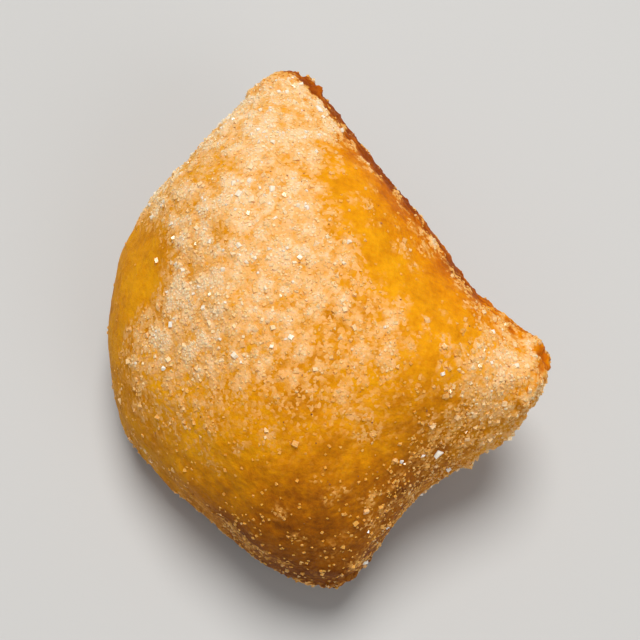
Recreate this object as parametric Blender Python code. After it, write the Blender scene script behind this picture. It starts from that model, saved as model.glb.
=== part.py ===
"""One piece of fried dough: a square cut from a rolled sheet of dough, puffed up in the hot oil.

Its top and bottom skins balloon apart and meet in a thin edge. Three sides were cut straight; the
fourth corner has swollen into one round bulge. The piece rests on a small flat spot under its belly.
Metres, +Z up, +Y towards the sharpest corner, origin under the middle of the piece's box.
"""

from math import atan2, cos, exp, pi, radians, sin, sqrt

import bmesh
import bpy
from mathutils import Vector, noise

MM = 0.001

# Plan: an oval cut off by straight sides, which are listed under CUTS.
OVAL_X = 27.9 * MM
OVAL_Y = 35.5 * MM
CORNER_SHARPNESS = 26  # the higher, the less the corners of the plan are rounded

# How high the skins stand over and under the edge.
TOP_PUFF = 17.5 * MM
BOTTOM_PUFF = 9.5 * MM
FLAT_SPOT_DEPTH = 0.35 * MM

# The edge where the skins meet: half its thickness where cut, and where it has swollen round.
CUT_EDGE_HALF = 1.2 * MM
ROUND_EDGE_HALF = 2.2 * MM
EDGE_BULGE = 0.35 * MM
EDGE_CLIMB = 3.4 * MM  # from the middle to the long cut
SWOLLEN_ANGLE = radians(207)  # the middle of the side that has swollen round
SWOLLEN_HALF = radians(58)  # how far it reaches either way
SWOLLEN_FADE = radians(45)  # and how far beyond that it turns into a cut side

# The sphere that the piece is made from.
SPOKES = 108
RINGS = 42
EDGE_BAND = 4 / RINGS  # the share of the way from equator to pole that makes up the edge
RING_CROWDING = 1.4  # above 1, the rings lie closer together towards the edge

# The slow unevenness of the skins, and the waver of the edge.
LUMP_SIZE = 11.0 * MM
LUMP_HEIGHT = 1.0 * MM
TOP_LUMPS = 3.7  # each skin has its own level in the noise
BOTTOM_LUMPS = 8.1
WAVER_SIZE = 8.0 * MM
WAVER = 0.35 * MM

CRUST_COLOUR = (0.66, 0.27, 0.035, 1.0)
CRUST_ROUGHNESS = 0.5


class Cut:
    """A straight side: outward angle and distance, how far in its shoulder reaches, and how blunt it is."""

    def __init__(self, angle, distance, shoulder, power):
        self.normal = Vector((cos(radians(angle)), sin(radians(angle)), 0))
        self.distance = distance
        self.shoulder = shoulder
        self.power = power

    def rise(self, point):
        """0 on the side, rounding up to 1 where its shoulder ends."""
        inside = self.distance - self.normal.dot(point)
        share = min(max(inside / self.shoulder, 0.0), 1.0)
        return (1 - (1 - share) ** 2) ** self.power


LONG_CUT = Cut(angle=37.7, distance=17.8 * MM, shoulder=18.0 * MM, power=0.56)
CUTS = (
    LONG_CUT,
    Cut(angle=-51.0, distance=26.1 * MM, shoulder=12.0 * MM, power=0.4),
    Cut(angle=135.0, distance=27.1 * MM, shoulder=8.0 * MM, power=0.28),
    Cut(angle=228.0, distance=27.7 * MM, shoulder=8.0 * MM, power=0.24),
    # The corners are nipped off short.
    Cut(angle=88.0, distance=32.0 * MM, shoulder=4.0 * MM, power=0.3),
    Cut(angle=-28.0, distance=27.0 * MM, shoulder=4.0 * MM, power=0.3),
    Cut(angle=-98.0, distance=32.2 * MM, shoulder=4.0 * MM, power=0.3),
)


class Corner:
    """A corner of the cut square: its direction, its width as an angle, and how far it is drawn out and up."""

    def __init__(self, angle, width, reach, lift=0.0):
        self.angle = radians(angle)
        self.width = radians(width)
        self.reach = reach
        self.lift = lift

    def share(self, angle):
        """1 in the corner's own direction, fading to 0 either side of it."""
        return exp(-((angle_between(angle, self.angle) / self.width) ** 2))


CORNERS = (
    Corner(angle=97, width=12, reach=0.4 * MM, lift=2.4 * MM),
    Corner(angle=-20, width=16, reach=1.4 * MM, lift=5.0 * MM),
    Corner(angle=-84, width=8, reach=1.4 * MM, lift=-1.0 * MM),
    # Hollows in the plan, half way along the short cut and towards the right end of the long one.
    Corner(angle=-60, width=15, reach=-1.7 * MM),
    Corner(angle=9, width=17, reach=-1.0 * MM),
)


class Blister:
    """A bubble under the skin: where it is in plan, its radius, and its height, which is less than 0 in a dent."""

    def __init__(self, x, y, radius, height):
        self.centre = Vector((x, y, 0)) * MM
        self.radius = radius * MM
        self.height = height * MM

    def rise(self, point):
        """Its height over a plan point."""
        share = (point - self.centre).length / self.radius
        return self.height * (1 - share * share) ** 2 if share < 1 else 0.0


TOP_BLISTERS = (
    Blister(14, -9, 9, 1.2),
    Blister(-13, 9, 12, 0.9),
    Blister(3, 16, 7, 0.7),
    Blister(-8, -17, 9, 0.8),
    Blister(6, -19, 6, -0.9),
    Blister(-3, 5, 9, -0.5),
    Blister(12, 3, 6, -0.5),
)
BELLY = Blister(-4, -2, 19, 1.5)
BOTTOM_BLISTERS = (
    BELLY,
    Blister(-17, 11, 8, 0.9),
    Blister(-16, -14, 7, 0.8),
    Blister(5, 19, 7, 1.1),
    Blister(9, -19, 7, 1.0),
    Blister(-22, -2, 6, -0.8),
)


def remove_objects():
    for old in list(bpy.data.objects):
        bpy.data.objects.remove(old)


def clamped(value):
    return min(max(value, 0.0), 1.0)


def angle_between(angle, other):
    """The turn from one angle to another, between half a turn back and half a turn on."""
    return (angle - other + pi) % (2 * pi) - pi


def outward(angle):
    return Vector((cos(angle), sin(angle), 0))


def outline_radius(angle):
    """Distance from the middle to the nearest of the oval and the straight cuts, with rounded corners."""
    direction = outward(angle)
    nearness = [sqrt((direction.x / OVAL_X) ** 2 + (direction.y / OVAL_Y) ** 2)]
    nearness += [max(cut.normal.dot(direction) / cut.distance, 0.0) for cut in CUTS]
    return sum(near**CORNER_SHARPNESS for near in nearness) ** (-1 / CORNER_SHARPNESS)


def drawn_out(point, angle, share):
    """A plan point moved by the corners and the waver of the edge, more the nearer it is to the edge."""
    reach = sum(corner.reach * corner.share(angle) for corner in CORNERS)
    reach += WAVER * noise.noise(outward(angle) * (OVAL_X / WAVER_SIZE))
    return point + outward(angle) * reach * share**4


def cut_share(angle):
    """1 along the cut sides and their corners, 0 round the swollen side."""
    turn = abs(angle_between(angle, SWOLLEN_ANGLE))
    share = clamped((turn - SWOLLEN_HALF) / SWOLLEN_FADE)
    return share * share * (3 - 2 * share)


def edge_height(point, angle, share):
    """Height of the middle of the edge: it climbs towards the long cut and curls at the corners."""
    lift = sum(corner.lift * corner.share(angle) for corner in CORNERS) * share**5
    return lift + EDGE_CLIMB * share * LONG_CUT.normal.dot(point) / LONG_CUT.distance


def skin_rise(point):
    """How far a skin has ballooned at a plan point, from 0 at the edge to about 1."""
    inside = 1 - (point.x / OVAL_X) ** 2 - (point.y / OVAL_Y) ** 2
    rise = sqrt(max(inside, 0.0))
    for cut in CUTS:
        rise *= cut.rise(point)
    return rise


def lumps(point, level):
    """The slow unevenness of a skin."""
    return LUMP_HEIGHT * noise.noise(Vector((point.x, point.y, level * LUMP_SIZE)) / LUMP_SIZE)


def uneven(rise, puff, unevenness):
    """A skin's height, with its unevenness dying away towards the edge."""
    return puff * rise + unevenness * clamped(rise * 2)


def top_skin(point):
    blisters = sum(blister.rise(point) for blister in TOP_BLISTERS)
    return uneven(skin_rise(point), TOP_PUFF, lumps(point, TOP_LUMPS) + blisters)


def bottom_skin(point):
    """The lower skin is fuller at its shoulders, and has no lumps on the belly that it rests on."""
    calm = 1 - BELLY.rise(point) / BELLY.height
    blisters = sum(blister.rise(point) for blister in BOTTOM_BLISTERS)
    return uneven(skin_rise(point) ** 0.9, BOTTOM_PUFF, lumps(point, BOTTOM_LUMPS) * calm + blisters)


def place(latitude, angle):
    """Where a point of the sphere goes, from its latitude as a share of the way from equator to pole."""
    across = min(max(latitude / EDGE_BAND, -1.0), 1.0)
    inward = max(abs(latitude) - EDGE_BAND, 0.0) / (1 - EDGE_BAND)
    share = 1 - inward**RING_CROWDING
    plan = outward(angle) * outline_radius(angle) * share
    placed = drawn_out(plan, angle, share) + outward(angle) * EDGE_BULGE * (1 - across * across)
    thinning = (CUT_EDGE_HALF - ROUND_EDGE_HALF) * cut_share(angle) * share**2
    placed.z = edge_height(plan, angle, share) + (ROUND_EDGE_HALF + thinning) * across
    if inward > 0:
        placed.z += top_skin(plan) if latitude > 0 else -bottom_skin(plan)
    return placed


def puffed_shape():
    """The whole piece from one sphere: its equator becomes the edge, and its halves the two skins."""
    shape = bmesh.new()
    bmesh.ops.create_uvsphere(shape, u_segments=SPOKES, v_segments=RINGS, radius=1.0)
    for vert in shape.verts:
        latitude = atan2(vert.co.z, vert.co.xy.length) / (pi / 2)
        vert.co = place(latitude, atan2(vert.co.y, vert.co.x))
    return shape


def rest_on_flat_spot(shape):
    """Slices the lowest bit of the belly off level, and closes it with one flat face."""
    lowest = min(vert.co.z for vert in shape.verts)
    bmesh.ops.bisect_plane(
        shape,
        geom=shape.verts[:] + shape.edges[:] + shape.faces[:],
        plane_co=(0, 0, lowest + FLAT_SPOT_DEPTH),
        plane_no=(0, 0, 1),
        clear_inner=True,
    )
    rim = [edge for edge in shape.edges if edge.is_boundary]
    bmesh.ops.contextual_create(shape, geom=rim)


def move_to_origin(shape):
    """Puts the middle of the underside of the piece's box at the origin."""
    low = Vector(min(vert.co[axis] for vert in shape.verts) for axis in range(3))
    high = Vector(max(vert.co[axis] for vert in shape.verts) for axis in range(3))
    middle = (low + high) / 2
    bmesh.ops.translate(shape, verts=shape.verts, vec=(-middle.x, -middle.y, -low.z))


def crust_material():
    material = bpy.data.materials.new("fried_crust")
    material.use_nodes = True
    shader = material.node_tree.nodes["Principled BSDF"]
    shader.inputs["Base Color"].default_value = CRUST_COLOUR
    shader.inputs["Roughness"].default_value = CRUST_ROUGHNESS
    shader.inputs["Metallic"].default_value = 0.0
    return material


def fried_dough():
    """The piece as one closed object."""
    shape = puffed_shape()
    rest_on_flat_spot(shape)
    move_to_origin(shape)
    bmesh.ops.recalc_face_normals(shape, faces=shape.faces)
    mesh = bpy.data.meshes.new("fried_dough")
    shape.to_mesh(mesh)
    shape.free()
    mesh.shade_smooth()
    mesh.materials.append(crust_material())
    return bpy.data.objects.new("fried_dough", mesh)


def main():
    remove_objects()
    collection = bpy.data.collections.new("fried_dough_piece")
    bpy.context.scene.collection.children.link(collection)
    collection.objects.link(fried_dough())


main()
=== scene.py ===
"""The looks of one piece of fried dough with cinnamon sugar, made around its CAD solid.

The crust is a fine copy of the solid. Surface works out what it is like at each vertex: how near the
cut, how bare, how sugared. That drives its relief, its material, and where the loose grains lie.
Metres, +Z up, +Y towards the top corner.
"""

from math import cos, pi, radians, sin

import bpy
import numpy as np
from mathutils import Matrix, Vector, kdtree, noise


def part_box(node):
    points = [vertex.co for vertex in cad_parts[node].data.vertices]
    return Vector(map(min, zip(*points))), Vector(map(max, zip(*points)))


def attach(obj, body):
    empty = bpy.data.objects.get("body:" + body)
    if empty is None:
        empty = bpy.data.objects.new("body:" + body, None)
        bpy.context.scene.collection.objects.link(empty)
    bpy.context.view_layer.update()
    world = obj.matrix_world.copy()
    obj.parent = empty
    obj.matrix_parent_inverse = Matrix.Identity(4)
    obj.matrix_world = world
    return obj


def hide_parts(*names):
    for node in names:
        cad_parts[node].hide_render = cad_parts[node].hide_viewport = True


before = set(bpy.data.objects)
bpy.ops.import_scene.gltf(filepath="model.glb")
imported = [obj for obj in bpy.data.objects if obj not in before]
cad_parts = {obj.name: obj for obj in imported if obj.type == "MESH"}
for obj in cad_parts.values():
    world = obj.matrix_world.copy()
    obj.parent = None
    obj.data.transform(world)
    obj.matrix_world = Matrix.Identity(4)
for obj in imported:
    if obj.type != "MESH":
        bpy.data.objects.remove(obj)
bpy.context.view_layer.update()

MM = 0.001
SOLID = "fried_dough"
LOW, HIGH = (np.array(corner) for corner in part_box(SOLID))

# Directions in plan: what the two cut sides face, and the way up from the bottom corner to the top one.
LONG_CUT = radians(37.7)
SHORT_CUT = radians(-51)
UPHILL = radians(97)


# ---------------------------------------------------------------- plain mathematics


def ramp(values, start, end):
    """0 up to start, 1 from end on, and smooth between; it falls where end is less than start."""
    share = np.clip((values - start) / (end - start), 0.0, 1.0)
    return share * share * (3 - 2 * share)


def band(values, start, full, fading, end):
    """0 outside start and end, 1 from full to fading."""
    return ramp(values, start, full) * ramp(values, end, fading)


def unit(vectors):
    return vectors / np.linalg.norm(vectors, axis=1)[:, None]


def facing(angle):
    return np.array((cos(angle), sin(angle), 0.0))


def inside_side(points, angle):
    """How far in from the side that faces an angle each point lies."""
    reach = points @ facing(angle)
    return reach.max() - reach


def search_tree(places):
    tree = kdtree.KDTree(len(places))
    for index, place in enumerate(places):
        tree.insert(place, index)
    tree.balance()
    return tree


OUTLINE_SPOKES = 720  # directions in which the outline is looked for
OUTLINE_SMOOTHING = 15  # neighbouring ones that share their heights


def outline_of(points):
    """The farthest point out in each direction, and its height, smoothed along the outline."""
    turn = (np.arctan2(points[:, 1], points[:, 0]) / (2 * pi) % 1.0 * OUTLINE_SPOKES).astype(int)
    reach = np.hypot(points[:, 0], points[:, 1])
    order = np.lexsort((reach, turn))
    last = np.flatnonzero(np.diff(turn[order], append=-1))
    outline = points[order[last]]
    smoothing = np.ones(OUTLINE_SMOOTHING) / OUTLINE_SMOOTHING
    heights = np.convolve(np.tile(outline[:, 2], 3), smoothing, "same")
    return outline, heights[len(outline) : 2 * len(outline)]


def from_outline(points):
    """How far in plan each point lies from the piece's outline, and how far above that."""
    outline, heights = outline_of(points)
    tree = search_tree(outline * (1, 1, 0))
    found = [tree.find(place) for place in points * (1, 1, 0)]
    nearest = np.array([index for _, index, _ in found])
    distances = np.array([distance for _, _, distance in found])
    return distances, points[:, 2] - heights[nearest]


def near(points, x, y, radius):
    """1 at a place in plan, fading to 0 at the radius; all three are in millimetres."""
    distance = np.hypot(points[:, 0] - x * MM, points[:, 1] - y * MM)
    return ramp(distance, radius * MM, 0.0)


def spotted(points, spots):
    """The sum of soft round spots in plan: each has its x, y and radius, and how much it adds."""
    return sum(strength * near(points, x, y, radius) for x, y, radius, strength in spots)


# ---------------------------------------------------------------- meshes as arrays


def vertex_places(mesh):
    places = np.empty(len(mesh.vertices) * 3)
    mesh.vertices.foreach_get("co", places)
    return places.reshape(-1, 3)


def set_vertex_places(mesh, places):
    mesh.vertices.foreach_set("co", places.ravel())
    mesh.update()


def vertex_normals(mesh):
    normals = np.empty(len(mesh.vertices) * 3)
    mesh.vertex_normals.foreach_get("vector", normals)
    return normals.reshape(-1, 3)


def edge_ends(mesh):
    ends = np.empty(len(mesh.edges) * 2, int)
    mesh.edges.foreach_get("vertices", ends)
    return ends.reshape(-1, 2)


def neighbour_mean(values, ends):
    """The mean of each vertex's neighbours, for one value or for three."""
    count = len(values)
    degree = np.bincount(ends.ravel(), minlength=count)
    columns = values.reshape(count, -1)
    total = np.empty_like(columns)
    for column in range(columns.shape[1]):
        one = columns[:, column]
        total[:, column] = np.bincount(ends[:, 0], one[ends[:, 1]], count)
        total[:, column] += np.bincount(ends[:, 1], one[ends[:, 0]], count)
    return (total / degree[:, None]).reshape(values.shape)


def smoothed(values, ends, rounds):
    for _ in range(rounds):
        values = values + (neighbour_mean(values, ends) - values) * 0.5
    return values


def store(mesh, name, values):
    """Keeps one value for each vertex, for the materials to read."""
    layer = mesh.attributes.new(name, "FLOAT", "POINT")
    layer.data.foreach_set("value", values.astype(np.float32))


# ---------------------------------------------------------------- the crust's shape


CRUST_SEED = 11
VOXEL = 0.345 * MM
WELD_DISTANCE = 0.001 * MM
SMOOTHING_ROUNDS = 24  # they take the steps of the voxels away
EDGE_ROUNDS = 60  # they wear the edge down, and how far it sinks shows how sharp it is
FLAT_SINKS = 0.12 * MM
SHARP_SINKS = 0.55 * MM
FLAT_SPOT_FADE = 1.2 * MM  # below this height, relief dies away towards the flat spot underneath


def fine_copy(name):
    """A copy of the CAD solid with small even faces of four sides."""
    solid = bpy.data.objects.new(name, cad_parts[SOLID].data.copy())
    bpy.context.scene.collection.objects.link(solid)
    weld = solid.modifiers.new("weld", "WELD")
    weld.merge_threshold = WELD_DISTANCE
    remesh = solid.modifiers.new("remesh", "REMESH")
    remesh.mode = "VOXEL"
    remesh.voxel_size = VOXEL
    shown = solid.evaluated_get(bpy.context.evaluated_depsgraph_get())
    mesh = bpy.data.meshes.new_from_object(shown)
    solid.modifiers.clear()
    solid.data = mesh
    mesh.name = name
    return solid


def settle(places):
    """Keeps everything on or above the surface that the piece stands on."""
    places[:, 2] = np.maximum(places[:, 2], 0.0)
    return places


def sharpness(places, normals, ends):
    """About 1 on the thin cut edge, less on the round one, and 0 on the skins."""
    sunk = ((places - smoothed(places, ends, EDGE_ROUNDS)) * normals).sum(1)
    return ramp(sunk, FLAT_SINKS, SHARP_SINKS)


def bubbles(places, chooser, allowed, count, radii, heights):
    """The height at each vertex of bumps scattered where allowed is high, their sizes in millimetres."""
    tree = search_tree(places)
    rise = np.zeros(len(places))
    centres = chooser.choice(len(places), count, replace=False, p=allowed / allowed.sum())
    for centre in centres:
        radius = chooser.uniform(*radii) * MM
        height = chooser.uniform(*heights) * MM * (radius / (radii[1] * MM))
        for _, index, distance in tree.find_range(places[centre], radius):
            rise[index] = max(rise[index], height * (1 - (distance / radius) ** 2) ** 2)
    return rise


# Soft round spots in plan, as x, y and radius in millimetres, and how much each adds.
# To how thick the sugar lies, and then to that on the raised right corner:
SUGAR_SPOTS = (
    (-14, 15, 8, -0.35),
    (-26, -9, 9, -0.25),
    (-2, 16, 8, -0.25),
    (1, 0, 9, -0.25),
    (13, -12, 6, -0.15),
    (-3, 30, 9, -0.2),
    (-19, 1, 9, 0.1),
    (0, -14, 12, 0.05),
)
CORNER_SUGAR_SPOTS = ((22, -9, 7, 0.6),)
# To how readily it cakes into blobs, all round and then on the upper side:
CAKED_SPOTS = (
    (-4, 31, 8, 0.6),
    (12, -6.5, 5, 0.6),
    (16, -15, 7, 0.2),
)
TOP_CAKED_SPOTS = (
    (22, -9, 7, 2.2),
    (13.5, 7.5, 3.2, 1.0),
    (21, -15, 6, 0.6),
)
# To how likely a large clump of it is, to the bare skin of the left rim, and to how brown the crust is;
# those on the lower flank, at (13, -20) and (1, -12), are painted shade:
CLUMP_SPOTS = ((19, -9, 8, 1.0),)
BARE_SPOTS = ((-26, 5, 11.5, 2.0), (-28, -2, 5, 1.5))
BROWN_AND_SHADE_SPOTS = (
    (18, 2, 6, 0.2),
    (10, 14, 5, 0.25),
    (13, -20, 11, 0.35),
    (1, -12, 9, 0.1),
    (23, -9, 8, -0.15),
)

# The bare skin inside the long cut: how wide it is half way along, how much narrower it gets for each
# metre towards the top corner, and how far that way it reaches.
BARE_WIDTH = 12.4 * MM
BARE_NARROWING = 0.2
BARE_REACH = 17.5 * MM

SEAM_WIDTH = 0.9 * MM
NOISE_SEED_STEP = np.array((7.3, 3.1, 5.7))  # how far apart two seeds look into the noise


class Surface:
    """The smooth crust before its relief, and what its looks depend on, as one value for each vertex."""

    def __init__(self, places, normals, ends):
        self.places = places
        self.normals = normals
        self.up = normals[:, 2]
        self.topside = 0.2 + 0.8 * ramp(self.up, -0.3, 0.2)  # 1 on top and 0.2 underneath
        self.edge = sharpness(places, normals, ends)
        self.rim_in, self.over_rim = from_outline(places)
        self.uphill = places @ facing(UPHILL)
        self.lower = ramp(self.uphill, 14 * MM, 2 * MM)  # 0 near the top corner, 1 from the middle down

        # The long cut: how far in from it each vertex lies, and how far along it towards the top corner.
        self.cut_in = inside_side(places, LONG_CUT)
        self.along = places @ facing(LONG_CUT + pi / 2)
        self.waver = self.blotches(3.5, seed=1, octaves=3) * 1.7 * MM
        self.ragged = self.ragged_depth()
        self.beside = self.beside_cut()
        self.cut = ramp(self.ragged, 2.7 * MM, 1.8 * MM) * self.beside
        self.layers = self.blotches(2.0, seed=8, octaves=3, flattening=3)
        self.seam = self.seam_line()
        self.lip = self.torn_lip()

        # The sugar, and the skin that it has left bare.
        self.bare_band = self.bare_beside_cut()
        self.bare_patch = np.minimum(spotted(places, BARE_SPOTS), 1.0)
        self.bare = np.maximum(self.bare_band, self.bare_patch)
        self.skirt = self.sugared_skirt()
        self.amount = self.sugar_amount()
        self.caking = self.sugar_caking()
        self.grit = self.gritty_flank()

    def blotches(self, size, seed, octaves=1, flattening=1.0):
        """Smooth noise of about -1 to 1, with features of that size in millimetres."""
        places = self.places * (1, 1, flattening) / (size * MM) + seed * NOISE_SEED_STEP
        values = np.zeros(len(places))
        for octave in range(octaves):
            scale = 2.0**octave
            values += np.array([noise.noise(place) for place in places * scale]) / scale
        return values

    def ragged_depth(self):
        """How far in from the outline, made ragged, and deeper towards the right corner."""
        rough = self.blotches(3, seed=16, octaves=3) * 0.8 * MM
        return self.rim_in + rough + 0.9 * MM * ramp(self.along, -16 * MM, -24 * MM)

    def beside_cut(self):
        """1 close to the long cut, and 0 at its right end."""
        return ramp(self.cut_in + self.waver, 5.5 * MM, 2.0 * MM) * ramp(self.along, -27 * MM, -21 * MM)

    def seam_line(self):
        """1 on the line round the outline where the two skins meet."""
        line = np.exp(-((self.over_rim / SEAM_WIDTH) ** 2))
        return line * ramp(self.rim_in, 2 * MM, 1 * MM) * self.edge

    def torn_lip(self):
        """Pale torn bits on the rim of the long cut and just inside it, most of them to the right."""
        crumbly = self.blotches(2.0, seed=15, octaves=3)
        crumbly += 0.35 * band(self.along, -22 * MM, -15 * MM, -4 * MM, 4 * MM)
        inside = band(self.ragged, 1.3 * MM, 1.9 * MM, 2.9 * MM, 3.6 * MM) * ramp(crumbly, 0.0, 0.4)
        chips = ramp(self.blotches(2.5, seed=18, octaves=2), 0.15, 0.4)
        rim = ramp(self.rim_in, 0.5 * MM, 0.25 * MM) * chips
        return (inside + rim) * (self.beside * ramp(self.up, -0.2, 0.2))

    def bare_beside_cut(self):
        """Bare skin inside the long cut, from nothing at the top corner to the whole of the right one."""
        width = np.minimum(BARE_WIDTH - BARE_NARROWING * self.along, 1.6 * (BARE_REACH - self.along))
        return ramp(self.cut_in + self.waver, width + 3.5 * MM, width - 2 * MM) * ramp(self.up, 0.0, 0.3)

    def sugared_skirt(self):
        """A blotchy strip of sugar along the outline of the short cut."""
        strip = ramp(self.rim_in, 6.5 * MM, 2.5 * MM)
        strip *= ramp(self.places @ facing(SHORT_CUT), 10 * MM, 18 * MM)
        return strip * (0.8 + 0.5 * self.blotches(4, seed=17, octaves=2))

    def sugar_amount(self):
        """From 0 to 1: the sugar lies thickest on the upper left, and thins out downwards."""
        amount = 0.10 + 0.90 * ramp(self.uphill, -23 * MM, 4 * MM)
        amount *= ramp(self.up, -0.2, 0.45 + 0.35 * self.lower)
        amount += spotted(self.places, SUGAR_SPOTS)
        flanks = 0.30 + 0.3 * self.blotches(9, seed=2)
        amount = np.maximum(amount, flanks * ramp(self.up, 0.4, -0.1))
        thicker_rightwards = 0.19 + 0.010 * self.places[:, 0] / MM
        amount = np.maximum(amount, thicker_rightwards * self.skirt)
        amount *= (1 - 0.97 * self.bare) * (1 - 0.85 * self.cut)
        amount += spotted(self.places, CORNER_SUGAR_SPOTS) * self.topside
        return np.clip(amount, 0, 1)

    def sugar_caking(self):
        """How readily it cakes into blobs: most where it is thick, on the right corner and some rims."""
        rims = ramp(self.blotches(6, seed=14), -0.1, 0.35) * self.edge * (1 - 0.7 * self.lower)
        caking = self.amount**1.5 + 0.14 * self.bare_band + rims
        caking += spotted(self.places, CAKED_SPOTS)
        caking += spotted(self.places, TOP_CAKED_SPOTS) * self.topside
        return caking * ((1 - 0.85 * self.cut) * (1 - 0.95 * self.bare_patch))

    def gritty_flank(self):
        """Where loose grains cling to the flank of the short cut, fewer towards the bottom corner."""
        steep = ramp(self.up, 0.95, 0.7)
        above_corner = 0.12 + 0.88 * ramp(self.uphill, -29 * MM, -18 * MM)
        return self.skirt * steep * above_corner * (1 - 0.8 * self.cut)


BLOB_SHIFT = 0.9 * MM  # how far the outlines of the blobs of sugar stray from round
FULL_BLOB = 0.75 * MM  # blobs this high are thick sugar

SKIN_UNEVENNESS = 0.16 * MM
WRINKLE_HEIGHT = 0.07 * MM
SEAM_HEIGHT = 0.5 * MM
FILM_HEIGHT = 0.30 * MM
FILM_UNEVENNESS = 0.12 * MM
BROWN_BLISTER = 0.4 * MM  # blisters this high brown fully


def film_thickness(surface, chooser):
    """Fine sugar, half melted into the oil and caked in soft blobs: 0 on bare skin to 1 where thick."""
    shifts = [surface.blotches(1.5, seed=seed, octaves=3) * BLOB_SHIFT for seed in (31, 32, 33)]
    warped = surface.places + np.stack(shifts, axis=1)
    blobs = bubbles(warped, chooser, surface.caking, count=2600, radii=(0.6, 2.1), heights=(0.2, 1.0))
    corner = spotted(surface.places, CLUMP_SPOTS)
    clumps = bubbles(warped, chooser, corner, count=26, radii=(1.4, 2.6), heights=(0.7, 1.0))
    blobs = np.maximum(blobs, clumps * (1 - surface.cut))
    blobs = ramp(blobs, 0.0, FULL_BLOB) * np.clip(0.45 + surface.caking, 0, 1)
    coarse_haze = 0.35 * surface.blotches(3.4, seed=3, octaves=2)
    fine_haze = 0.35 * surface.blotches(1.3, seed=4, octaves=2)
    haze = surface.amount * (1 + coarse_haze + fine_haze)
    return np.clip(0.5 * haze + 0.52 * blobs + 0.45 * surface.lip, 0, 1)


def skin_relief(surface, calm):
    """The slow unevenness and the wrinkles of fried skin."""
    wrinkles = 1 - np.abs(surface.blotches(2.4, seed=6, octaves=2, flattening=1.6)) * 2.2
    return SKIN_UNEVENNESS * surface.blotches(5.5, seed=5, octaves=2) + WRINKLE_HEIGHT * wrinkles * calm


def blister_relief(surface, chooser):
    """Large and small blisters, in patches, and all over the cut side."""
    patches = ramp(surface.blotches(10, seed=7), -0.1, 0.5)
    allowed = 0.25 + 0.75 * patches + 0.8 * surface.cut
    large = bubbles(surface.places, chooser, allowed, count=80, radii=(1.4, 3.2), heights=(0.15, 0.4))
    small = bubbles(surface.places, chooser, allowed, count=900, radii=(0.45, 1.1), heights=(0.06, 0.16))
    return large + small


def torn_relief(surface):
    """The layers and crumbs of the cut side and of the edge, and the seam between the skins."""
    rough = np.maximum(surface.edge, surface.cut)
    torn = 0.3 * surface.layers + 0.15 * surface.blotches(0.8, seed=9, octaves=2)
    return torn * rough * MM + SEAM_HEIGHT * surface.seam


def film_relief(surface, film, chooser):
    """The film's own height, with lumps of sugar along the edge."""
    height = (FILM_HEIGHT + FILM_UNEVENNESS * surface.blotches(0.9, seed=10, octaves=2)) * film
    on_edge = surface.edge * film**2
    lumps = bubbles(surface.places, chooser, on_edge, count=900, radii=(0.5, 1.2), heights=(0.3, 0.8))
    return height + lumps


def relief(surface, film, blisters, chooser):
    """How far each vertex moves along its normal: bare skin is calmer, and the flat spot stays flat."""
    calm = 1 - 0.3 * surface.bare
    moves = skin_relief(surface, calm) + blisters * calm + torn_relief(surface)
    moves += film_relief(surface, film, chooser)
    return moves * ramp(surface.places[:, 2], 0.0, FLAT_SPOT_FADE)


def cut_browning_and_shade(surface):
    """How much browner the torn side of the long cut is, and the skin beside it: partly a browner fry, and
    partly painted shade for the dark line along that side.
    """
    seared = ramp(surface.along, -10 * MM, 8 * MM)
    browned = ramp(surface.along, -22 * MM, -12 * MM)
    layers = surface.layers + 0.6 * surface.blotches(5, seed=19, octaves=2)
    torn = (0.08 + 0.45 * seared - 0.5 * layers + 0.3 * surface.seam) * surface.cut
    return torn + 0.4 * ramp(surface.cut_in, 6 * MM, 0.5 * MM) * browned


def browning_and_shade(surface, blisters):
    """How brown the crust is, from 0 pale gold to 1 dark brown: browned by frying, browner on faces that
    turn downwards, and darker towards the bottom corner, which is partly painted shade.
    """
    brown_and_shade = 0.20 + 0.2 * surface.blotches(8, seed=12, octaves=2) + 0.3 * surface.edge
    brown_and_shade += cut_browning_and_shade(surface)
    brown_and_shade += 0.3 * ramp(surface.up, 0.2, -0.6)
    patches = ramp(surface.blotches(3, seed=13), -0.1, 0.4)
    brown_and_shade += 0.25 * np.clip(blisters / BROWN_BLISTER, 0, 1) * patches * (1 - 0.7 * surface.bare)
    # Painted shade: darker towards the bottom corner, where the lower part lies in shade, and partly a
    # browner fry there too.
    brown_and_shade += 0.75 * ramp(surface.places[:, 1], -17 * MM, -33 * MM)
    brown_and_shade += spotted(surface.places, BROWN_AND_SHADE_SPOTS) + 0.15 * surface.grit
    return np.clip(brown_and_shade, 0, 1)


def redness(surface):
    """1 on the edge and near the long cut, where the crust is fried redder, and 0 elsewhere."""
    return np.clip(surface.edge + ramp(surface.cut_in, 10 * MM, 2 * MM), 0, 1)


def make_crust():
    """The crust with its relief, the smooth surface that it had before, and the film of sugar on it."""
    crust = fine_copy("fried_crust")
    mesh = crust.data
    ends = edge_ends(mesh)
    places = settle(smoothed(vertex_places(mesh), ends, SMOOTHING_ROUNDS))
    set_vertex_places(mesh, places)
    surface = Surface(places, vertex_normals(mesh), ends)
    chooser = np.random.default_rng(CRUST_SEED)
    film = film_thickness(surface, chooser)
    blisters = blister_relief(surface, chooser)
    moves = relief(surface, film, blisters, chooser)
    set_vertex_places(mesh, settle(places + surface.normals * moves[:, None]))
    store(mesh, "film", film)
    # Browning, together with painted shade towards the bottom corner and along the long cut.
    store(mesh, "brown_and_shade", browning_and_shade(surface, blisters))
    store(mesh, "red", redness(surface))
    mesh.materials.clear()
    mesh.materials.append(crust_material())
    mesh.shade_smooth()
    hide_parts(SOLID)
    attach(crust, "root")
    return crust, surface, film


# ---------------------------------------------------------------- materials


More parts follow.
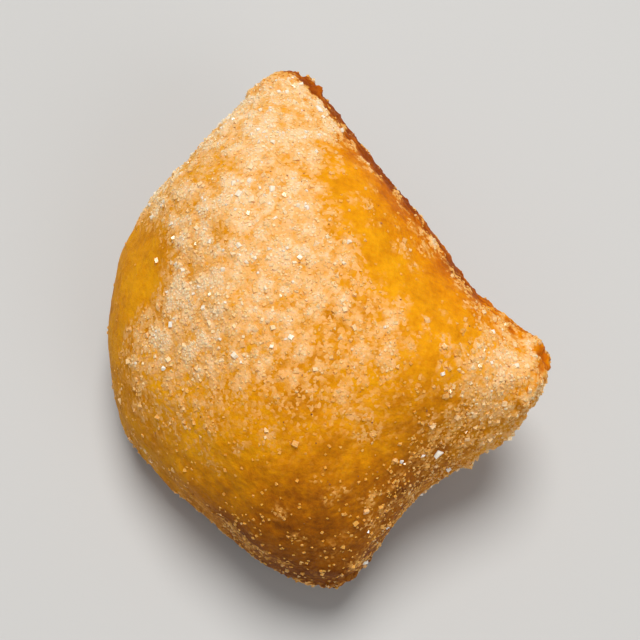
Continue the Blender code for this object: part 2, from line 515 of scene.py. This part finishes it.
def new_material(name):
    """A material, its node tree and its shader."""
    material = bpy.data.materials.new(name)
    material.use_nodes = True
    return material, material.node_tree, material.node_tree.nodes["Principled BSDF"]


def feed(tree, made, inputs):
    """Sets a node's inputs; each is given a value, or a socket to link it to."""
    for name, value in inputs.items():
        if isinstance(value, bpy.types.NodeSocket):
            tree.links.new(value, made.inputs[name])
        else:
            made.inputs[name].default_value = value


def node(tree, kind, inputs, **settings):
    """A shader node with those inputs and settings."""
    made = tree.nodes.new("ShaderNode" + kind)
    for name, value in settings.items():
        setattr(made, name, value)
    feed(tree, made, inputs)
    return made


def attribute(tree, name):
    return node(tree, "Attribute", {}, attribute_name=name).outputs["Fac"]


def maths(tree, operation, first, second, clamp=False):
    """A sum on two values or sockets, such as ADD or MULTIPLY."""
    return node(tree, "Math", {0: first, 1: second}, operation=operation, use_clamp=clamp).outputs[0]


def place_on_object(tree):
    return node(tree, "TexCoord", {}).outputs["Object"]


def noise_of(tree, size, detail, roughness=0.5):
    """Noise from 0 to 1 with features of that size."""
    inputs = {"Vector": place_on_object(tree), "Scale": 1 / size, "Detail": detail, "Roughness": roughness}
    return node(tree, "TexNoise", inputs).outputs["Fac"]


def wobble(tree, size, strength, detail, roughness=0.5):
    """Noise about 0, which reaches half its strength either way."""
    centred = maths(tree, "SUBTRACT", noise_of(tree, size, detail, roughness), 0.5)
    return maths(tree, "MULTIPLY", centred, strength)


def crumbs_of(tree, size):
    """Round crumbs of that size: how far each place is below a crumb's top, and the crumb's shade."""
    cells = node(tree, "TexVoronoi", {"Vector": place_on_object(tree), "Scale": 1 / size})
    distance = cells.outputs["Distance"]
    return maths(tree, "MULTIPLY", distance, distance), cells.outputs["Color"]


def stretch(tree, value, low, high, to_low=0.0, to_high=1.0):
    """Value from its range onto another, smoothly and without going past the ends."""
    inputs = {"Value": value, "From Min": low, "From Max": high, "To Min": to_low, "To Max": to_high}
    return node(tree, "MapRange", inputs, interpolation_type="SMOOTHSTEP").outputs["Result"]


def mixed(tree, share, first, second):
    """A blend of two colours; 6 and 7 are the node's two colour inputs, and 2 is its colour output."""
    return node(tree, "Mix", {"Factor": share, 6: first, 7: second}, data_type="RGBA").outputs[2]


def colours_along(tree, value, stops):
    """The colour at a value, from (place, colour) stops."""
    made = node(tree, "ValToRGB", {"Fac": value})
    elements = made.color_ramp.elements
    while len(elements) < len(stops):
        elements.new(0.5)
    for element, (place, colour) in zip(elements, stops):
        element.position = place
        element.color = (*colour, 1.0)
    return made.outputs["Color"]


# Colours from pale to dark of skin and of the cut side, and from thin to thick of the sugar's film.
SKIN_STOPS = (
    (0.0, (0.84, 0.36, 0.005)),
    (0.25, (0.71, 0.268, 0.003)),
    (0.45, (0.56, 0.190, 0.003)),
    (0.7, (0.37, 0.110, 0.004)),
    (1.0, (0.19, 0.050, 0.004)),
)
CUT_STOPS = (
    (0.0, (0.86, 0.32, 0.004)),
    (0.25, (0.76, 0.240, 0.002)),
    (0.45, (0.60, 0.150, 0.002)),
    (0.7, (0.43, 0.095, 0.003)),
    (1.0, (0.27, 0.050, 0.003)),
)
FILM_STOPS = (
    (0.0, (0.76, 0.31, 0.03)),
    (0.45, (0.82, 0.385, 0.085)),
    (0.75, (0.88, 0.48, 0.18)),
    (1.0, (0.94, 0.60, 0.32)),
)

CRUMB_SIZE = 0.42 * MM
CRUMB_DEPTH = 0.12 * MM
GRAIN_HEIGHT = 0.18 * MM


def skin_colour(tree):
    """Fried dough, speckled and mottled, and redder on the edge and near the long cut."""
    speckle = wobble(tree, 0.8 * MM, strength=0.7, detail=5.0, roughness=0.65)
    mottle = wobble(tree, 2.4 * MM, strength=0.6, detail=2.0)
    # The attribute read here holds the crust's browning together with painted shade on the lower part and
    # along the long cut.
    brown_and_shade = maths(tree, "ADD", maths(tree, "ADD", attribute(tree, "brown_and_shade"), speckle), mottle)
    skin = colours_along(tree, brown_and_shade, SKIN_STOPS)
    return mixed(tree, attribute(tree, "red"), skin, colours_along(tree, brown_and_shade, CUT_STOPS))


def crumbly_film(tree, shade):
    """The film's thickness, which crumbs stray from: most where it is thin, but not on bare skin."""
    film = attribute(tree, "film")
    stray = maths(tree, "SUBTRACT", shade, 0.5)
    stray = maths(tree, "MULTIPLY", stray, stretch(tree, film, 0.0, 0.2))
    stray = maths(tree, "MULTIPLY", stray, stretch(tree, film, 0.2, 0.6, 0.95, 0.5))
    return maths(tree, "ADD", film, stray, clamp=True)


def crust_bump(tree, depth):
    """The normal of a surface with fine grain everywhere, and with crumbs where there is film."""
    grain = maths(tree, "MULTIPLY", noise_of(tree, 0.5 * MM, detail=5.0, roughness=0.65), GRAIN_HEIGHT)
    crumbs = maths(tree, "MULTIPLY", depth, attribute(tree, "film"))
    height = maths(tree, "SUBTRACT", grain, maths(tree, "MULTIPLY", crumbs, CRUMB_DEPTH))
    return node(tree, "Bump", {"Height": height, "Strength": 1.0, "Distance": 1.0}).outputs["Normal"]


def crust_material():
    material, tree, shader = new_material("fried_crust")
    depth, shade = crumbs_of(tree, CRUMB_SIZE)
    film = crumbly_film(tree, shade)
    sugar = colours_along(tree, film, FILM_STOPS)
    looks = {
        "Base Color": mixed(tree, stretch(tree, film, 0.05, 0.6), skin_colour(tree), sugar),
        "Roughness": stretch(tree, film, 0.0, 0.6, 0.45, 0.7),
        "IOR": 1.35,
        "Specular IOR Level": 0.05,
        "Subsurface Weight": 0.2,
        "Subsurface Radius": (1.0, 0.45, 0.12),
        "Subsurface Scale": 1.5 * MM,
        "Normal": crust_bump(tree, depth),
    }
    feed(tree, shader, looks)
    return material


def tinted_material(name, stops, looks):
    """A material whose colour follows each grain's own tint."""
    material, tree, shader = new_material(name)
    feed(tree, shader, {"Base Color": colours_along(tree, attribute(tree, "tint"), stops)})
    feed(tree, shader, looks)
    return material


def sugar_material(name, stops, roughness, gloss):
    looks = {
        "Roughness": roughness,
        "IOR": 1.54,
        "Specular IOR Level": gloss,
        "Subsurface Weight": 0.8,
        "Subsurface Radius": (1.0, 1.0, 1.0),
        "Subsurface Scale": 0.3 * MM,
    }
    return tinted_material(name, stops, looks)


# ---------------------------------------------------------------- sugar and cinnamon


CUBE_CORNERS = np.array([(x, y, z) for x in (-1, 1) for y in (-1, 1) for z in (-1, 1)], float)
CUBE_FACES = np.array(((0, 1, 3, 2), (4, 6, 7, 5), (0, 4, 5, 1), (2, 3, 7, 6), (0, 2, 6, 4), (1, 5, 7, 3)))
PALETTE_SIDE = 8  # tints in a square of 8 by 8
PALETTE_MARGIN = 0.1  # of each tint's own square
WHITE_GROWTH = 1.4  # how many times longer the white grains are
DARKER_SHARE = 0.35  # of the grains are darker than the film that they lie on
TOP_TINT = 0.98  # of the grains that aren't white
THINNEST = 0.55  # the least side of a block, as a share of its length


class Grains:
    """A kind of grain: how many are thrown on, how long they are and how they lie."""

    def __init__(
        self, name, seed, count, lengths, sunk,
        spacing=0.5, tilt=1.0, jitter=0.16, chance=0.5, skew=1.0,
    ):
        self.name = name
        self.seed = seed
        self.count = count
        self.lengths = lengths  # the least and the greatest, in millimetres
        self.sunk = sunk  # the share of a grain's length that is under the crust's surface
        self.spacing = spacing  # no two lie closer than this share of their lengths added up
        self.tilt = tilt  # how far they lean over
        self.jitter = jitter  # how far their corners stray
        self.chance = chance  # how far their tints stray from the film that they lie on
        self.skew = skew  # above 1, more of them are short


CRYSTALS = Grains(
    "sugar_crystals", seed=21, count=1500, lengths=(0.32, 0.75), sunk=0.6,
    jitter=0.22, chance=0.6, skew=1.7,
)
FINE_SUGAR = Grains(
    "sugar_fine", seed=22, count=14200, lengths=(0.22, 0.46), sunk=0.69,
    tilt=0.28, chance=0.3,
)
CINNAMON = Grains(
    "cinnamon_specks", seed=23, count=450, lengths=(0.08, 0.24), sunk=0.5,
    spacing=0.8, jitter=0.35, chance=1.0, skew=2.0,
)


def surface_samples(crust, weights, count, chooser):
    """Places scattered over the crust, more where a vertex weighs more, their normals and vertices."""
    mesh = crust.data
    places = vertex_places(mesh)
    corners = np.empty(len(mesh.polygons) * 4, int)
    mesh.loops.foreach_get("vertex_index", corners)
    corners = corners.reshape(-1, 4)
    areas = np.empty(len(mesh.polygons))
    mesh.polygons.foreach_get("area", areas)
    chances = areas * weights[corners].mean(1)
    picked = corners[chooser.choice(len(corners), count, p=chances / chances.sum())]
    shares = chooser.random((count, 2, 1))
    across = np.stack([places[picked[:, k]] for k in range(4)])
    low = across[0] + (across[1] - across[0]) * shares[:, 0]
    high = across[3] + (across[2] - across[3]) * shares[:, 0]
    spots = low + (high - low) * shares[:, 1]
    return spots, unit(vertex_normals(mesh)[picked].mean(1)), picked


def cells_around(cell):
    x, y, z = cell
    return [(x + i, y + j, z + k) for i in (-1, 0, 1) for j in (-1, 0, 1) for k in (-1, 0, 1)]


def is_free(taken, cell, spot, radius):
    """Whether no grain already taken reaches a new one."""
    for key in cells_around(cell):
        for other, reach in taken.get(key, ()):
            gap = spot - other
            if gap @ gap < (radius + reach) ** 2:
                return False
    return True


def thinned(spots, radii):
    """Which spots to keep so that no two grains lie closer than their radii, first come first kept."""
    cell_size = radii.max() * 2
    taken = {}
    kept = []
    for index, (spot, radius) in enumerate(zip(spots, radii)):
        cell = tuple(np.floor(spot / cell_size).astype(int))
        if is_free(taken, cell, spot, radius):
            taken.setdefault(cell, []).append((spot, radius))
            kept.append(index)
    return np.array(kept)


def turned(directions, tilt, chooser):
    """Rotation matrices that stand things on the crust, tilted a little and turned at random."""
    up = unit(directions + chooser.normal(size=directions.shape) * tilt)
    across = unit(np.cross(up, chooser.normal(size=directions.shape)))
    return np.stack((across, np.cross(up, across), up), axis=2)


def blocks(kind, spots, directions, lengths, chooser):
    """The corners of uneven little blocks, and which of them are clear of the ground."""
    count = len(spots)
    halves = lengths[:, None] * chooser.uniform(THINNEST, 1.0, (count, 3)) / 2
    corners = CUBE_CORNERS[None] * (1 + chooser.uniform(-kind.jitter, kind.jitter, (count, 8, 3)))
    turns = turned(directions, kind.tilt, chooser)
    centres = spots + directions * (lengths * (0.5 - kind.sunk))[:, None]
    places = centres[:, None] + np.einsum("nij,nkj->nki", turns, corners * halves[:, None])
    return places, places[:, :, 2].min(1) > 0


def grain_mesh(name, places, tints):
    """One mesh of many blocks, each with its own tint."""
    faces = (CUBE_FACES[None] + np.arange(len(places))[:, None, None] * 8).reshape(-1, 4)
    mesh = bpy.data.meshes.new(name)
    mesh.from_pydata(places.reshape(-1, 3), [], faces)
    store(mesh, "tint", np.repeat(tints, 8))
    palette_map(mesh, tints)
    return mesh


def palette_map(mesh, tints):
    """Gives each grain's faces the square of the palette that holds its tint."""
    square = np.minimum(tints * PALETTE_SIDE**2, PALETTE_SIDE**2 - 1).astype(int)
    low = np.stack((square % PALETTE_SIDE, square // PALETTE_SIDE), axis=1) / PALETTE_SIDE
    near_side, far_side = PALETTE_MARGIN, 1 - PALETTE_MARGIN
    inner = ((near_side, near_side), (far_side, near_side), (far_side, far_side), (near_side, far_side))
    inner = np.array(inner) / PALETTE_SIDE
    places = low[:, None, None] + inner[None, None] + np.zeros((1, len(CUBE_FACES), 1, 1))
    mesh.uv_layers.new(name="OFBake").uv.foreach_set("vector", places.ravel())


def scatter(kind, crust, weights, film, material, white_and_glint_share=None):
    """Grains over the crust, more where it weighs more; the last argument is the share of them that are
    white sugar, which on the flank also stands in for painted glints.
    """
    chooser = np.random.default_rng(kind.seed)
    spots, directions, picked = surface_samples(crust, weights, kind.count, chooser)
    shortest, longest = kind.lengths
    lengths = (shortest + (longest - shortest) * chooser.random(kind.count) ** kind.skew) * MM
    strays = kind.chance * (chooser.random(kind.count) - DARKER_SHARE)
    tints = np.clip(film[picked].mean(1) + strays, 0, TOP_TINT)
    if white_and_glint_share is not None:
        white = chooser.random(kind.count) < white_and_glint_share[picked].mean(1)
        tints[white] = 1.0
        lengths[white] *= WHITE_GROWTH
    kept = thinned(spots, lengths * kind.spacing)
    places, standing = blocks(kind, spots[kept], directions[kept], lengths[kept], chooser)
    mesh = grain_mesh(kind.name, places[standing], tints[kept][standing])
    mesh.materials.append(material)
    piece = bpy.data.objects.new(kind.name, mesh)
    bpy.context.scene.collection.objects.link(piece)
    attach(piece, "root")


# Colours of grains by tint, which goes from 0 on bare skin to nearly 1 in thick sugar; white ones have 1.
SUGAR_TINTS = (
    (0.0, (0.81, 0.34, 0.04)),
    (0.45, (0.86, 0.42, 0.10)),
    (0.75, (0.92, 0.54, 0.21)),
    (1.0, (0.97, 0.71, 0.42)),
)
CRYSTAL_TINTS = (
    (0.0, (0.72, 0.36, 0.07)),
    (0.4, (0.83, 0.47, 0.17)),
    (0.75, (0.92, 0.60, 0.30)),
    (0.95, (0.95, 0.70, 0.43)),
    (1.0, (1.0, 0.90, 0.78)),
)
CINNAMON_TINTS = (
    (0.0, (0.24, 0.08, 0.02)),
    (1.0, (0.50, 0.20, 0.06)),
)

# Where single crystals gather, as x, y and radius in millimetres, and how much each adds.
CORNER_CRYSTAL_SPOTS = ((20, -9, 9, 1.0),)
FLANK_CRYSTAL_SPOTS = ((14, -19, 7, 1.0), (6, -28, 6, 1.0))


def make_crystals(crust, surface, film):
    """Coarse crystals along the edges, on the right corner and on the flank of the short cut."""
    places = vertex_places(crust.data)
    corner = spotted(places, CORNER_CRYSTAL_SPOTS) * (0.2 + film)
    flank = spotted(places, FLANK_CRYSTAL_SPOTS)
    rim = surface.edge * (1 - 0.7 * surface.cut) * (1 - 0.8 * surface.bare)
    weights = 0.003 + 0.13 * film**2 + 0.25 * rim + 0.4 * corner + 0.05 * flank + 0.05 * surface.grit
    material = sugar_material("sugar_crystals", CRYSTAL_TINTS, roughness=0.12, gloss=0.35)
    # More white crystals on the flank: white sugar, and partly painted glints.
    scatter(CRYSTALS, crust, weights, film, material, white_and_glint_share=0.012 + 0.2 * flank)


def make_fine_sugar(crust, surface, film):
    """Fine grains on the thick film, and a gritty coat of them on the flank of the short cut."""
    weights = 0.009 * (1 - 0.7 * surface.bare) + film**3 + 0.15 * surface.grit
    material = sugar_material("sugar_fine", SUGAR_TINTS, roughness=0.4, gloss=0.15)
    scatter(FINE_SUGAR, crust, weights, film, material)


def make_cinnamon(crust, film):
    """Brown specks of cinnamon, most of them in the sugar."""
    material = tinted_material("cinnamon", CINNAMON_TINTS, {"Roughness": 0.75})
    scatter(CINNAMON, crust, 0.03 + film, film, material)


# ---------------------------------------------------------------- stage


FLOOR_HALF = 2.0
FLOOR_COLOUR = (0.50, 0.50, 0.495, 1.0)
FLOOR_ROUGHNESS = 0.6


def make_floor():
    mesh = bpy.data.meshes.new("floor")
    corners = [(x * FLOOR_HALF, y * FLOOR_HALF, 0.0) for x, y in ((-1, -1), (1, -1), (1, 1), (-1, 1))]
    mesh.from_pydata(corners, [], [(0, 1, 2, 3)])
    floor = bpy.data.objects.new("floor", mesh)
    bpy.context.scene.collection.objects.link(floor)
    material, tree, shader = new_material("floor")
    feed(tree, shader, {"Base Color": FLOOR_COLOUR, "Roughness": FLOOR_ROUGHNESS})
    mesh.materials.append(material)


def add_light(name, side, spread, strength, colour=(1.0, 1.0, 1.0)):
    """A soft light from far off: the way to it, how wide it looks, and watts for each square metre."""
    light = bpy.data.lights.new(name, "SUN")
    light.angle = spread
    light.energy = strength
    light.color = colour
    lamp = bpy.data.objects.new(name, light)
    lamp.rotation_euler = (-Vector(side)).to_track_quat("-Z", "Y").to_euler()
    bpy.context.scene.collection.objects.link(lamp)


def make_lights():
    add_light("key", side=(0.03, 0.28, 0.64), spread=radians(27), strength=2.9, colour=(1.0, 0.98, 0.95))
    add_light("fill", side=(0.40, -0.42, 0.40), spread=radians(40), strength=0.55)
    world = bpy.data.worlds.new("studio")
    world.use_nodes = True
    background = world.node_tree.nodes["Background"]
    feed(world.node_tree, background, {"Color": (1.0, 1.0, 1.0, 1.0), "Strength": 0.3})
    bpy.context.scene.world = world


CAMERA_ELEVATION = radians(74)
CAMERA_LENS = 85.0
CAMERA_SENSOR = 36.0
CAMERA_NEAREST = 0.01  # it shows nothing nearer than this
FRAME_SHARE = 0.80  # of the picture's height that the piece takes up


def make_camera():
    data = bpy.data.cameras.new("camera")
    data.lens = CAMERA_LENS
    data.sensor_width = CAMERA_SENSOR
    data.clip_start = CAMERA_NEAREST
    middle = Vector((LOW + HIGH) / 2)
    back = Vector((0, -cos(CAMERA_ELEVATION), sin(CAMERA_ELEVATION)))
    spread = (HIGH[1] - LOW[1]) / FRAME_SHARE
    distance = spread / 2 / (CAMERA_SENSOR / 2 / CAMERA_LENS)
    camera = bpy.data.objects.new("camera", data)
    camera.location = middle + back * distance
    camera.rotation_euler = (-back).to_track_quat("-Z", "Y").to_euler()
    bpy.context.scene.collection.objects.link(camera)
    bpy.context.scene.camera = camera


def main():
    bpy.context.scene.view_settings.view_transform = "Standard"
    crust, surface, film = make_crust()
    make_crystals(crust, surface, film)
    make_fine_sugar(crust, surface, film)
    make_cinnamon(crust, film)
    make_floor()
    make_lights()
    make_camera()


main()
